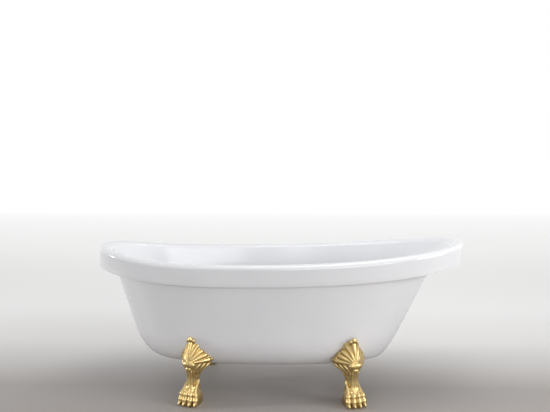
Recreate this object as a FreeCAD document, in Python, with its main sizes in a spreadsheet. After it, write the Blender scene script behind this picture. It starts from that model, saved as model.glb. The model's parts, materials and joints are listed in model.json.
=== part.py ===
"""Single-slipper clawfoot bathtub, in millimetres.

The long axis is X, with the raised slipper end at +X; Z is up and the paws stand on Z = 0.
The origin lies on the floor under the middle of the rim. "Low" is the foot end at -X, which
holds the waste and the overflow, "high" is the slipper end at +X, "front" is -Y, "rear" is +Y.
"""
import FreeCAD, Part
import math
import os

import Sketcher
from FreeCAD import Placement, Rotation, Vector

os.makedirs("parts", exist_ok=True)
doc = FreeCAD.newDocument("clawfoot_bathtub")
sheet = doc.addObject("Spreadsheet::Sheet", "Sizes")

SIZES = {
    # plan of the rim and the curve of its top, which rises to both ends from rise_start
    "rim_half_length": 850,
    "rim_half_width": 365,
    "rim_squareness": 2.55,
    "rim_height": 623,
    "rise_start": -280,
    "low_rise": 54,
    "low_rise_power": 2.5,
    "high_rise": 78,
    "high_rise_power": 2.57,
    # section of the rim
    "roll_radius": 19,
    "apron_depth": 93,
    "rim_width": 60,
    "rim_edge_drop": 12,
    "rim_shoulder_power": 4,
    # basin
    "basin_thickness": 7,
    "basin_floor": 215,
    "basin_high_edge": 782,
    "low_lean": 240,
    "high_lean": 395,
    "side_lean": 60,
    "low_floor_round": 75,
    "high_floor_round": 60,
    "side_floor_round": 100,
    "floor_round_start": 0.6,
    # outer body
    "body_thickness": 5,
    "body_top": 535,
    "body_low_reach": 765,
    "body_high_reach": 688,
    "body_half_width": 356,
    "body_low_slope": 0.32,
    "body_high_slope": 0.50,
    "body_side_slope": 0.10,
    "body_round_start": 290,
    "body_bottom": 153,
    "body_low_round": 70,
    "body_high_round": 24,
    "body_side_round": 115,
    "body_top_squareness": 2.45,
    "body_foot_squareness": 2.3,
    "lip_low_reach": 800,
    "lip_high_reach": 750,
    "lip_half_width": 357,
    "lip_tuck": 12,
    # board and bars under the basin
    "board_start": -330,
    "board_end": 330,
    "board_half_width": 125,
    "board_corner": 40,
    "bar_low_place": -315,
    "bar_high_place": 260,
    "bar_width": 60,
    "bar_height": 30,
    "bar_half_length": 165,
    "bar_wall": 3,
    # feet
    "foot_low_place": -383,
    "foot_high_place": 324,
    "foot_side_place": 300,
    "foot_splay": 20,
    "foot_wall": 9,
    "foot_clearance": 0.6,
    "surround_back": -235,
    "surround_front": 65,
    "surround_half_width": 100,
    "surround_foot": 100,
    "surround_top": 350,
    "toe_spread": 34,
    "cord_spread": 0.6,
    "cord_top": 142,
    "cord_radius": 5.6,
    "claw_root": 5.5,
    "claw_point": 2,
    "claw_reach": 13,
    "claw_drop": 16,
    "fan_centre": 190,
    "flute_foot": 5,
    "flute_middle": 8,
    "flute_end": 10.5,
    "hinge_radius": 14,
    "hinge_half_width": 17,
    "hinge_height": 182,
    "finial_ball": 10,
    "finial_bead": 5.8,
    "finial_height": 290,
    "hollow_back": -62,
    "hollow_front": 12,
    "hollow_half_width": 14,
    "hollow_top": 92,
    "arm_root": 18,
    "arm_reach": 222,
    "arm_width": 44,
    "arm_thickness": 10,
    "bolt_near": 165,
    "bolt_far": 200,
    "bolt_radius": 5,
    "bolt_hole": 5.5,
    "bolt_head_radius": 9.8,
    "bolt_head_height": 6.4,
    "bolt_length": 35,
    "washer_radius": 10,
    "washer_height": 2,
    "nut_height": 8,
    # levellers in the paws
    "screw_radius": 6,
    "running_gap": 0.05,
    "screw_foot": 3.05,
    "screw_top": 56,
    "screw_hex_radius": 9,
    "screw_hex_start": 8,
    "screw_hex_height": 5,
    "pad_radius": 15,
    "pad_height": 7,
    "pad_socket": 3,
    "paw_pocket_radius": 18,
    "boss_start": 16,
    "boss_top": 32,
    "lock_nut_radius": 11,
    # waste
    "waste_place": -410,
    "waste_hole": 24.5,
    "neck_radius": 24,
    "neck_bore": 20,
    "neck_foot": 192,
    "seal_height": 2,
    "flange_radius": 35,
    "flange_height": 3,
    "cross_width": 4,
    "cross_foot": 198,
    "cross_top": 206,
    "stem_guide_radius": 8,
    "lower_seal_height": 4,
    "barrel_flange_height": 4,
    "barrel_radius": 28,
    "barrel_foot": 150,
    "tail_radius": 20,
    "tail_bore": 17,
    "tail_top": 135,
    "tail_foot": 85,
    "inlet_height": 176,
    "inlet_reach": 45,
    "plug_radius": 31,
    "plug_height": 6,
    "plug_seal_outer": 30,
    "plug_seal_inner": 24,
    "stem_radius": 5,
    "stem_foot": 184,
    "stem_stop_radius": 7,
    "stem_stop_height": 4,
    "access_length": 120,
    "access_half_width": 75,
    # overflow: heights and depths along the low end wall's normal, from its inner face
    "overflow_height": 475,
    "overflow_lean": 28.6,
    "overflow_hole": 20,
    "plate_radius": 35,
    "plate_foot": 1.8,
    "plate_top": 11,
    "plate_wall": 3,
    "slot_half_width": 14,
    "overflow_screw_radius": 3,
    "overflow_screw_head": 5.5,
    "gasket_top": -8.7,
    "gasket_height": 2,
    "elbow_radius": 25,
    "elbow_bore": 19,
    "elbow_depth": 14,
    "bridge_depth": 4,
    "bridge_width": 8,
    "bridge_lift": 2,
    # overflow pipe: it slants down behind the end wall, then runs level to the waste
    "pipe_radius": 11,
    "pipe_bore": 9.5,
    "socket_radius": 14,
    "socket_length": 40,
    "socket_overlap": 18,
    "pipe_bend": 60,
    "pipe_slant": 24,
    "pipe_start_x": -712,
    "pipe_start_height": 450,
    "pipe_end_reach": 30,
    "pipe_nut_radius": 16,
    "pipe_nut_length": 10,
}
for row, (alias, value) in enumerate(SIZES.items(), start=1):
    sheet.set(f"A{row}", alias.replace("_", " "))
    sheet.set(f"B{row}", str(value))
    sheet.setAlias(f"B{row}", alias)
doc.recompute()

RING_POINTS = 48
ROLL_ANGLES = (15, 30, 45, 60, 75, 90)
SHOULDER_SHARES = (0.3, 0.5, 0.7, 0.85)
WALL_DEPTHS = (0, 0.15, 0.3, 0.45, 0.6, 0.7, 0.8, 0.88, 0.94, 0.98, 1)


def mm(alias):
    """A driving dimension as a number."""
    return float(getattr(sheet, alias))


# ---------------------------------------------------------------- shells

def rim_top(x):
    """Height of the rim's crest over the plan position x."""
    low_run = mm("rim_half_length") + mm("rise_start")
    high_run = mm("rim_half_length") - mm("rise_start")
    to_low = max(0, (mm("rise_start") - x) / low_run)
    to_high = max(0, (x - mm("rise_start")) / high_run)
    low = mm("low_rise") * to_low ** mm("low_rise_power")
    high = mm("high_rise") * to_high ** mm("high_rise_power")
    return mm("rim_height") + low + high


def oval(low_end, high_end, half_width, squareness, height):
    """Closed smooth oval between two ends, at a height that may depend on x."""
    middle = (low_end + high_end) / 2
    half_length = (high_end - low_end) / 2
    points = []
    for step in range(RING_POINTS):
        turn = 2 * math.pi * step / RING_POINTS
        along = math.cos(turn)
        across = math.sin(turn)
        swell = (abs(along) ** squareness + abs(across) ** squareness) ** (-1 / squareness)
        x = middle + half_length * along * swell
        points.append(Vector(x, half_width * across * swell, height(x)))
    curve = Part.BSplineCurve()
    curve.interpolate(Points=points, PeriodicFlag=True)
    return Part.Wire([curve.toShape()])


def rim_ring(inset, drop):
    """Ring of the rim, moved in from the outline and down from the crest."""
    length = mm("rim_half_length") - inset
    width = mm("rim_half_width") - inset
    return oval(-length, length, width, mm("rim_squareness"), lambda x: rim_top(x) - drop)


def quarter(share):
    """Inset share of an elliptical rounding at a share of its height."""
    return 1 - math.sqrt(max(0, 1 - share * share))


def basin_ring(depth, offset):
    """Ring of the basin's wall: depth 0 at the rim's inner edge, 1 at the floor."""
    start = mm("floor_round_start")
    rounding = quarter(max(0, (depth - start) / (1 - start)))
    low_edge = mm("rim_half_length") - mm("rim_width")
    low = low_edge - mm("low_lean") * depth - mm("low_floor_round") * rounding + offset
    high = mm("basin_high_edge") - mm("high_lean") * depth - mm("high_floor_round") * rounding + offset
    side_edge = mm("rim_half_width") - mm("rim_width")
    side = side_edge - mm("side_lean") * depth - mm("side_floor_round") * rounding
    floor = mm("basin_floor") - offset
    edge_drop = mm("rim_edge_drop") + offset / 2
    return oval(-low, high, side + offset, mm("rim_squareness"),
                lambda x: floor + (rim_top(x) - edge_drop - floor) * (1 - depth))


def roll_rings(skin):
    """Rings over the rolled rim, from the apron's top towards the inner edge, skin under the surface."""
    radius = mm("roll_radius")
    rings = [rim_ring(skin, radius + skin / 4)]
    for angle in ROLL_ANGLES:
        lift = (radius - skin) * math.sin(math.radians(angle))
        reach = (radius - skin) * math.cos(math.radians(angle))
        rings.append(rim_ring(radius - reach, radius - lift))
    run = mm("rim_width") - radius
    power = mm("rim_shoulder_power")
    for share in SHOULDER_SHARES:
        drop = mm("rim_edge_drop") * share ** power
        slope = math.atan(power * mm("rim_edge_drop") / run * share ** (power - 1))
        rings.append(rim_ring(radius + run * share - skin * math.sin(slope), drop + skin * math.cos(slope)))
    return rings


def lofted(rings, straight=False):
    return Part.makeLoft(rings, False, straight).Faces


def closed_solid(faces):
    """Solid bounded by faces that share their edges."""
    shell = Part.Shell(faces)
    solid = Part.Solid(shell)
    if not (shell.isClosed() and solid.isValid() and solid.Volume > 0):
        raise RuntimeError("the shell does not close")
    return solid


def basin_skin(skin):
    """Faces of one side of the basin shell, with its apron-foot ring and its floor wire."""
    foot = rim_ring(skin, mm("apron_depth"))
    wall = [basin_ring(depth, skin) for depth in WALL_DEPTHS]
    faces = lofted([foot] + roll_rings(skin) + wall[:1], straight=True)
    faces += lofted(wall)
    faces.append(Part.Face(wall[-1]))
    return faces, foot


def basin_solid():
    seen, seen_foot = basin_skin(0)
    hidden, hidden_foot = basin_skin(mm("basin_thickness"))
    return closed_solid(seen + hidden + lofted([seen_foot, hidden_foot], straight=True))


def body_ring(height, rounding, offset):
    """Level ring of the outer body; rounding is the inset share of its bottom bend."""
    drop = mm("body_top") - height
    low = mm("body_low_reach") - mm("body_low_slope") * drop - mm("body_low_round") * rounding
    high = mm("body_high_reach") - mm("body_high_slope") * drop - mm("body_high_round") * rounding
    side = mm("body_half_width") - mm("body_side_slope") * drop - mm("body_side_round") * rounding
    share = drop / (mm("body_top") - mm("body_bottom"))
    square = mm("body_top_squareness")
    square += (mm("body_foot_squareness") - square) * share
    return oval(-low - offset, high + offset, side + offset, square, lambda x: height)


def body_rings(offset):
    """Level rings from the top of the body's wall down to its flat bottom, grown by offset."""
    top = mm("body_top")
    bend = mm("body_round_start")
    bottom = mm("body_bottom") - offset
    rings = [body_ring(top + (bend - top) * step / 4, 0, offset) for step in range(5)]
    for angle in (20, 40, 60, 75, 90):
        dip = math.sin(math.radians(angle))
        inset = 1 - math.cos(math.radians(angle))
        rings.append(body_ring(bend - (bend - bottom) * dip, inset, offset))
    return rings


def lip_ring(offset):
    """Top edge of the outer body, hidden inside the apron."""
    return oval(-mm("lip_low_reach") - offset, mm("lip_high_reach") + offset,
                mm("lip_half_width") + offset, mm("rim_squareness"),
                lambda x: rim_top(x) - mm("apron_depth") + mm("lip_tuck"))


def skirt_solid():
    faces = []
    lips = []
    for offset in (0, -mm("body_thickness")):
        rings = body_rings(offset)
        lip = lip_ring(offset)
        lips.append(lip)
        faces += lofted([lip, rings[0]], straight=True)
        faces += lofted(rings)
        faces.append(Part.Face(rings[-1]))
    return closed_solid(faces + lofted(lips, straight=True))


def body_block(offset):
    """Solid block inside the body's wall, grown by offset, used to trim what leans on it."""
    rings = body_rings(offset)
    return closed_solid(lofted(rings) + [Part.Face(rings[0]), Part.Face(rings[-1])])


# ---------------------------------------------------------------- helpers for bound objects

def bind(item, **expressions):
    for name, expression in expressions.items():
        item.setExpression(name, expression)
    return item


def at(item, x="0", y="0", z="0"):
    """Bind the object's place to the sheet."""
    item.setExpression("Placement.Base.x", x)
    item.setExpression("Placement.Base.y", y)
    item.setExpression("Placement.Base.z", z)
    return item


def feature(name, shape):
    item = doc.addObject("Part::Feature", name)
    item.Label = name
    item.Shape = shape
    return item


def cylinder(name, radius, height, x="0", y="0", z="0"):
    item = doc.addObject("Part::Cylinder", name)
    bind(item, Radius=radius, Height=height)
    return at(item, x, y, z)


def block(name, length, width, height, x="0", y="0", z="0"):
    item = doc.addObject("Part::Box", name)
    bind(item, Length=length, Width=width, Height=height)
    return at(item, x, y, z)


def hexagon(name, radius, height, x="0", y="0", z="0"):
    item = doc.addObject("Part::Prism", name)
    item.Polygon = 6
    bind(item, Circumradius=radius, Height=height)
    return at(item, x, y, z)


def cut(name, base, tool):
    item = doc.addObject("Part::Cut", name)
    item.Label = name
    item.Base = base
    item.Tool = tool
    return item


def fuse(name, shapes):
    item = doc.addObject("Part::MultiFuse", name)
    item.Label = name
    item.Shapes = shapes
    return item


def group(name, shapes):
    """Separate equal solids kept together under one name."""
    item = doc.addObject("Part::Compound", name)
    item.Label = name
    item.Links = shapes
    return item


def body_plane(body, role):
    return next(item for item in body.Origin.OriginFeatures if item.Role == role)


def sketch_loop(body, name, role, corners):
    """Closed polygon on an origin plane, each corner bound to the sheet."""
    sketch = body.newObject("Sketcher::SketchObject", name)
    sketch.AttachmentSupport = [(body_plane(body, role), "")]
    sketch.MapMode = "FlatFace"
    count = len(corners)
    spots = [Vector(math.cos(2 * math.pi * i / count), math.sin(2 * math.pi * i / count), 0)
             for i in range(count)]
    for i in range(count):
        sketch.addGeometry(Part.LineSegment(spots[i], spots[(i + 1) % count]), False)
    for i in range(count):
        sketch.addConstraint(Sketcher.Constraint("Coincident", i, 2, (i + 1) % count, 1))
    for i, (across, up) in enumerate(corners):
        for kind, expression, start in (("DistanceX", across, spots[i].x), ("DistanceY", up, spots[i].y)):
            index = sketch.addConstraint(Sketcher.Constraint(kind, -1, 1, i, 1, start))
            sketch.renameConstraint(index, f"{kind}_{i}")
            sketch.setExpression(f"Constraints.{kind}_{i}", expression)
    return sketch


def turned(name, corners, x="0", y="0", z="0"):
    """Body turned about its own Z axis from a profile of (radius, height) corners."""
    body = doc.addObject("PartDesign::Body", name)
    body.Label = name
    sketch = sketch_loop(body, name + "_profile", "XZ_Plane", corners)
    turn = body.newObject("PartDesign::Revolution", name + "_turn")
    turn.Profile = sketch
    turn.ReferenceAxis = (sketch, ["V_Axis"])
    turn.Angle = 360
    return at(body, x, y, z)


def ring_corners(inner, outer, low, high):
    return [(inner, low), (outer, low), (outer, high), (inner, high)]


def washer(name, inner, outer, low, high, x="0"):
    return turned(name, ring_corners(inner, outer, low, high), x)


# ---------------------------------------------------------------- basin and outer body

def overflow_frame():
    """Place on the low end wall's inner face, with +Z along the wall's normal into the basin."""
    height = mm("overflow_height")
    edge = mm("rim_half_length") - mm("rim_width")
    rim_edge = rim_top(-edge) - mm("rim_edge_drop")
    for _ in range(20):
        depth = (rim_edge - height) / (rim_edge - mm("basin_floor"))
        x = -(edge - mm("low_lean") * depth)
        rim_edge = rim_top(x) - mm("rim_edge_drop")
    tilt = Rotation(Vector(0, 1, 0), 90 - mm("overflow_lean"))
    return Placement(Vector(x, 0, height), tilt)


overflow_place = overflow_frame()


def make_basin_shell():
    shell = feature("basin_blank", basin_solid())
    drain = cylinder("basin_drain_hole", "Sizes.waste_hole", "Sizes.basin_floor",
                     "Sizes.waste_place", z="Sizes.basin_floor / 2")
    overflow = doc.addObject("Part::Cylinder", "basin_overflow_hole")
    bind(overflow, Radius="Sizes.overflow_hole", Height="Sizes.elbow_radius * 4")
    overflow.Placement = overflow_place * Placement(Vector(0, 0, -2 * mm("elbow_radius")), Rotation())
    return cut("basin_shell", shell, fuse("basin_holes", [drain, overflow]))


def foot_frame(side, end):
    """Place of a foot: its +X points outwards, away from the tub. side is -1 front, end is -1 low."""
    x = mm("foot_low_place") if end < 0 else mm("foot_high_place")
    turn = side * (90 - end * mm("foot_splay"))
    return Placement(Vector(x, side * mm("foot_side_place"), 0), Rotation(Vector(0, 0, 1), turn))


FEET = {
    "front_low": foot_frame(-1, -1),
    "front_high": foot_frame(-1, 1),
    "rear_low": foot_frame(1, -1),
    "rear_high": foot_frame(1, 1),
}


def bolt_places():
    """The eight bolt axes, where the feet's arms meet the cross bars."""
    return [foot.multVec(Vector(-mm(reach), 0, 0))
            for foot in FEET.values() for reach in ("bolt_near", "bolt_far")]


def bolt_hole_tool(name, low, height):
    """Upright drills at the eight bolt places."""
    drills = []
    for i, spot in enumerate(bolt_places()):
        drill = doc.addObject("Part::Cylinder", f"{name}_{i}")
        bind(drill, Radius="Sizes.bolt_hole", Height=height)
        drill.Placement = Placement(Vector(spot.x, spot.y, 0), Rotation())
        drill.setExpression("Placement.Base.z", low)
        drills.append(drill)
    return fuse(name, drills)


def make_outer_skirt():
    blank = feature("skirt_blank", skirt_solid())
    access = block("skirt_access", "Sizes.access_length", "2 * Sizes.access_half_width",
                   "Sizes.bar_height", "Sizes.waste_place - Sizes.access_length / 2",
                   "-Sizes.access_half_width", "Sizes.body_bottom - Sizes.bar_height / 2")
    drills = bolt_hole_tool("skirt_bolt_holes", "Sizes.body_bottom - Sizes.body_thickness",
                            "3 * Sizes.body_thickness")
    return cut("outer_skirt", blank, fuse("skirt_holes", [access, drills]))


def make_base_board():
    body = doc.addObject("PartDesign::Body", "base_board")
    body.Label = "base_board"
    start, end, half = "Sizes.board_start", "Sizes.board_end", "Sizes.board_half_width"
    sketch = sketch_loop(body, "board_outline", "XY_Plane",
                         [(start, "-" + half), (end, "-" + half), (end, half), (start, half)])
    pad = body.newObject("PartDesign::Pad", "board_pad")
    pad.Profile = sketch
    pad.setExpression("Length", "Sizes.basin_floor - Sizes.basin_thickness - Sizes.body_bottom"
                      " - Sizes.body_thickness - Sizes.bar_height")
    doc.recompute()
    upright = [f"Edge{i}" for i, edge in enumerate(pad.Shape.Edges, start=1)
               if abs(edge.BoundBox.ZLength - pad.Length.Value) < 0.01]
    corners = body.newObject("PartDesign::Fillet", "board_corners")
    corners.Base = (pad, upright)
    corners.setExpression("Radius", "Sizes.board_corner")
    return at(body, z="Sizes.body_bottom + Sizes.body_thickness + Sizes.bar_height")


def make_cross_bars():
    for end in ("low", "high"):
        name = f"cross_bar_{end}"
        place = f"Sizes.bar_{end}_place"
        floor = "Sizes.body_bottom + Sizes.body_thickness"
        outside = block(name + "_tube", "Sizes.bar_width", "2 * Sizes.bar_half_length", "Sizes.bar_height",
                        f"{place} - Sizes.bar_width / 2", "-Sizes.bar_half_length", floor)
        inside = block(name + "_inside", "Sizes.bar_width - 2 * Sizes.bar_wall",
                       "2 * Sizes.bar_half_length + 2", "Sizes.bar_height - 2 * Sizes.bar_wall",
                       f"{place} - Sizes.bar_width / 2 + Sizes.bar_wall", "-Sizes.bar_half_length - 1",
                       floor + " + Sizes.bar_wall")
        drills = bolt_hole_tool(name + "_drills", floor + " - 1", "Sizes.bar_wall + 2")
        cut(name, outside, fuse(name + "_hollow", [inside, drills]))


def make_foot_fasteners():
    """Bolts up through the arms, the outer body and the bars, each with washer and nut."""
    arm_foot = "Sizes.body_bottom - Sizes.arm_thickness"
    head_top = arm_foot + " - Sizes.washer_height"
    nut_foot = "Sizes.body_bottom + Sizes.body_thickness + Sizes.bar_wall"
    bolts, washers, nuts = [], [], []
    for i, spot in enumerate(bolt_places()):
        x, y = str(round(spot.x, 3)), str(round(spot.y, 3))
        head = hexagon(f"bolt_head_{i}", "Sizes.bolt_head_radius", "Sizes.bolt_head_height",
                       x, y, head_top + " - Sizes.bolt_head_height")
        shank = cylinder(f"bolt_shank_{i}", "Sizes.bolt_radius", "Sizes.bolt_length", x, y, head_top)
        bolts.append(fuse(f"bolt_{i}", [head, shank]))
        disc = cylinder(f"washer_disc_{i}", "Sizes.washer_radius", "Sizes.washer_height", x, y, head_top)
        eye = cylinder(f"washer_eye_{i}", "Sizes.bolt_hole", "Sizes.washer_height", x, y, head_top)
        washers.append(cut(f"washer_{i}", disc, eye))
        nut = hexagon(f"nut_hex_{i}", "Sizes.bolt_head_radius", "Sizes.nut_height", x, y, nut_foot)
        thread = cylinder(f"nut_thread_{i}", "Sizes.bolt_radius + Sizes.running_gap",
                          "Sizes.nut_height", x, y, nut_foot)
        nuts.append(cut(f"nut_{i}", nut, thread))
    group("foot_bolts", bolts)
    group("foot_bolt_washers", washers)
    group("foot_bolt_nuts", nuts)


# ---------------------------------------------------------------- claw foot
# Its own axes: X outwards from the tub, Y sideways, Z up, with the ankle over the origin.

# Horizontal sections of the fan and leg: height, reach of the front crest, reach of the swept-back
# side edge, half width.
LEG_SECTIONS = [
    (58, 36, -30, 31),
    (80, 30, -26, 28.5),
    (102, 26, -24, 28.5),
    (125, 25, -24, 29.5),
    (140, 26.5, -26, 34),
    (155, 29, -31, 47),
    (170, 32, -38, 63),
    (188, 32, -45, 72),
    (205, 30, -46, 72),
    (222, 27, -40, 60),
    (240, 23, -32, 45),
    (258, 18, -25, 33),
    (275, 11, -17, 22),
    (290, 6, -9, 12),
]
# Sections of the paw: height, middle, half length, half width.
PAW_SECTIONS = [
    (0, -6, 49, 37),
    (14, -6, 51, 41),
    (32, -5, 48, 41),
    (50, -2, 41, 37),
    (66, 1, 33, 31),
    (84, 1, 27, 26),
]
SECTION_SHARES = (-1, -0.72, -0.38, 0, 0.38, 0.72, 1)
BOW_POWER = 1.6
PAW_SQUARENESS = 2.4
# Joints of a toe from the instep to the tip: reach, share of the toe's side place, share of it by
# which the toe is set back, height, radius.
TOE_JOINTS = [
    (26, 0.66, 0.15, 78, 8.2),
    (37.5, 0.97, 0.28, 52.5, 12.4),
    (45, 1.06, 0.28, 28.5, 12.6),
    (51, 1.09, 0.28, 11.5, 10),
]
TOE_PLACES = (-1, -0.34, 0.34, 1)
# Flutes of one half of the fan: angle from upright, length from the fan's centre.
FLUTES = [(0, 93), (18, 81), (40, 67), (63, 66), (86, 72)]


def ball(alias, middle):
    return Part.makeSphere(mm(alias), middle)


def cone_between(start, end, start_radius, end_radius):
    return Part.makeCone(start_radius, end_radius, (end - start).Length, start, end - start)


def leg_outline(height, front, edge, half_width):
    """Crescent section of the casting: a bowed front and the hollow behind it."""
    wall = mm("foot_wall")
    outer = []
    inner = []
    for share in SECTION_SHARES:
        bow = abs(share) ** BOW_POWER
        outer.append(Vector(front - (front - edge) * bow, half_width * share, height))
        inner.append(Vector(front - wall - (front - wall - edge) * bow,
                            (half_width - wall * 0.7) * share, height))
    points = outer + inner[::-1]
    return Part.makePolygon(points + points[:1])


def front_reach(height, sideways):
    """Reach of the casting's front face at a height and a distance from its middle."""
    for below, above in zip(LEG_SECTIONS, LEG_SECTIONS[1:]):
        if below[0] <= height <= above[0]:
            share = (height - below[0]) / (above[0] - below[0])
            front, edge, half = (a + (b - a) * share for a, b in zip(below[1:], above[1:]))
            return front - (front - edge) * min(1, abs(sideways) / half) ** BOW_POWER
    return 0


def rib(spots, radii):
    """Round rib through the spots, with a ball at each of them."""
    pieces = [Part.makeSphere(radius, spot) for spot, radius in zip(spots, radii)]
    for i in range(len(spots) - 1):
        pieces.append(cone_between(spots[i], spots[i + 1], radii[i] - 0.6, radii[i + 1] - 1))
    return pieces


def toe(place):
    """Cord down the leg, a toe of three joints and its claw; the outer toes are set back."""
    side = place * mm("toe_spread")
    spots = []
    radii = []
    for reach, share, set_back, height, radius in TOE_JOINTS:
        spots.append(Vector(reach - abs(side) * set_back, side * share, height))
        radii.append(radius)
    top = mm("cord_top")
    cord_side = side * mm("cord_spread")
    cord_start = Vector(front_reach(top, cord_side) - 1.5, cord_side, top)
    claw_start = spots[-1] + Vector(0, 0, mm("claw_drop") / 2)
    claw_end = claw_start + Vector(mm("claw_reach"), 0, -mm("claw_drop"))
    pieces = rib(spots, radii)
    pieces.append(cone_between(cord_start, spots[0], mm("cord_radius"), radii[0] - 1))
    pieces.append(cone_between(claw_start, claw_end, mm("claw_root"), mm("claw_point")))
    return pieces


def fan_flute(angle, length):
    """A round rib from the fan's centre to its edge."""
    lean = math.radians(angle)
    spots = []
    radii = (mm("flute_foot"), mm("flute_middle"), mm("flute_end"))
    for share, radius in zip((0.1, 0.55, 1), radii):
        side = share * length * math.sin(lean)
        height = mm("fan_centre") + share * length * math.cos(lean)
        spots.append(Vector(front_reach(height, side) - radius / 2, side, height))
    return rib(spots, radii)


def fan_hinge():
    """Swelling across the fan's foot, where the flutes meet over the leg."""
    height = mm("hinge_height")
    reach = front_reach(height, 0) - mm("hinge_radius") / 2
    half = mm("hinge_half_width")
    ends = [Vector(reach, -half, height), Vector(reach, half, height)]
    bar = Part.makeCylinder(mm("hinge_radius"), 2 * half, ends[0], ends[1] - ends[0])
    return [bar] + [ball("hinge_radius", end) for end in ends]


def finial():
    ball_middle = Vector(mm("finial_ball"), 0, mm("finial_height"))
    bead_middle = ball_middle + Vector(0, 0, mm("finial_ball") + 1)
    return [ball("finial_ball", ball_middle), ball("finial_bead", bead_middle)]


def paw_block():
    rings = []
    for height, middle, half_length, half_width in PAW_SECTIONS:
        rings.append(oval(middle - half_length, middle + half_length, half_width, PAW_SQUARENESS,
                          lambda x, level=height: level))
    return Part.makeLoft(rings, True, False)


def foot_arm():
    """Flat arm that reaches in under the tub, with its two bolt holes."""
    thick = mm("arm_thickness")
    foot = mm("body_bottom") - thick
    length = mm("arm_reach") + mm("arm_root")
    arm = Part.makeBox(length, mm("arm_width"), thick, Vector(-mm("arm_reach"), -mm("arm_width") / 2, foot))
    for reach in ("bolt_near", "bolt_far"):
        arm = arm.cut(Part.makeCylinder(mm("bolt_hole"), thick, Vector(-mm(reach), 0, foot)))
    return arm


def claw_foot_casting():
    """The casting before it is ground to the body, standing at its own origin."""
    leg = Part.makeLoft([leg_outline(*row) for row in LEG_SECTIONS], True, False)
    pieces = [paw_block()] + finial() + fan_hinge()
    for place in TOE_PLACES:
        pieces += toe(place)
    for angle, length in FLUTES:
        pieces += fan_flute(angle, length)
        if angle:
            pieces += fan_flute(-angle, length)
    casting = leg.multiFuse(pieces)

    room = mm("fan_centre")
    below_floor = Part.makeBox(2 * room, 2 * room, room, Vector(-room, -room, -room))
    hollow = Part.makeBox(mm("hollow_front") - mm("hollow_back"), 2 * mm("hollow_half_width"),
                          mm("hollow_top") - mm("boss_top"),
                          Vector(mm("hollow_back"), -mm("hollow_half_width"), mm("boss_top")))
    pocket = Part.makeCylinder(mm("paw_pocket_radius"), mm("boss_start"))
    thread = Part.makeCylinder(mm("screw_radius") + mm("running_gap"), mm("boss_top"))
    casting = casting.cut(below_floor).cut(hollow)
    return casting.fuse(foot_arm()).cut(pocket).cut(thread)


def make_claw_feet():
    """The four castings, each ground to the stretch of the body that it leans on."""
    casting = claw_foot_casting()
    body = body_block(mm("foot_clearance"))
    half = mm("surround_half_width")
    surround = Part.makeBox(mm("surround_front") - mm("surround_back"), 2 * half,
                            mm("surround_top") - mm("surround_foot"),
                            Vector(mm("surround_back"), -half, mm("surround_foot")))
    for corner, place in FEET.items():
        leaned_on = body.transformed(place.inverse().toMatrix()).common(surround)
        ground = casting.cut(leaned_on)
        foot = feature(f"claw_foot_{corner}", max(ground.Solids, key=lambda solid: solid.Volume))
        foot.Placement = place


# ---------------------------------------------------------------- levellers

def corner_place(corner):
    """Bound plan position of the ankle of one corner's foot."""
    side, end = corner.split("_")
    sign = "-" if side == "front" else ""
    return f"Sizes.foot_{end}_place", sign + "Sizes.foot_side_place"


def make_levellers():
    """In each paw: a screw through the boss, its lock nut above and its swivel pad below."""
    lock_nuts = []
    for corner in FEET:
        x, y = corner_place(corner)
        socket = "Sizes.screw_radius + Sizes.running_gap"
        turned(f"leveller_pad_{corner}",
               [("0", "0"), ("Sizes.pad_radius", "0"), ("Sizes.pad_radius", "Sizes.pad_height"),
                (socket, "Sizes.pad_height"), (socket, "Sizes.pad_socket"), ("0", "Sizes.pad_socket")], x, y)
        rod = cylinder(f"screw_rod_{corner}", "Sizes.screw_radius", "Sizes.screw_top - Sizes.screw_foot",
                       x, y, "Sizes.screw_foot")
        head = hexagon(f"screw_hex_{corner}", "Sizes.screw_hex_radius", "Sizes.screw_hex_height",
                       x, y, "Sizes.screw_hex_start")
        fuse(f"leveller_screw_{corner}", [rod, head])
        nut = hexagon(f"lock_nut_hex_{corner}", "Sizes.lock_nut_radius", "Sizes.nut_height",
                      x, y, "Sizes.boss_top")
        thread = cylinder(f"lock_nut_thread_{corner}", socket, "Sizes.nut_height", x, y, "Sizes.boss_top")
        lock_nuts.append(cut(f"lock_nut_{corner}", nut, thread))
    group("leveller_lock_nuts", lock_nuts)


# ---------------------------------------------------------------- waste

FLANGE_FOOT = "Sizes.basin_floor + Sizes.seal_height"
FLANGE_TOP = FLANGE_FOOT + " + Sizes.flange_height"
BASIN_UNDERSIDE = "Sizes.basin_floor - Sizes.basin_thickness"
WASTE = "Sizes.waste_place"


def make_waste_flange():
    """Flange and neck, with a cross in the bore that guides the plug's stem."""
    rim = turned("waste_flange_rim",
                 [("Sizes.neck_bore", "Sizes.neck_foot"), ("Sizes.neck_radius", "Sizes.neck_foot"),
                  ("Sizes.neck_radius", FLANGE_FOOT), ("Sizes.flange_radius", FLANGE_FOOT),
                  ("Sizes.flange_radius", FLANGE_TOP), ("Sizes.neck_bore", FLANGE_TOP)], WASTE)
    reach = "(Sizes.neck_bore + Sizes.neck_radius)"
    height = "Sizes.cross_top - Sizes.cross_foot"
    bar_x = block("waste_cross_x", reach, "Sizes.cross_width", height,
                  f"{WASTE} - {reach} / 2", "-Sizes.cross_width / 2", "Sizes.cross_foot")
    bar_y = block("waste_cross_y", "Sizes.cross_width", reach, height,
                  f"{WASTE} - Sizes.cross_width / 2", f"-{reach} / 2", "Sizes.cross_foot")
    guide = cylinder("waste_guide", "Sizes.stem_guide_radius", height, WASTE, z="Sizes.cross_foot")
    stem_way = cylinder("waste_stem_way", "Sizes.stem_radius + Sizes.running_gap", height,
                        WASTE, z="Sizes.cross_foot")
    cut("waste_flange", fuse("waste_flange_blank", [rim, bar_x, bar_y, guide]), stem_way)


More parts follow.
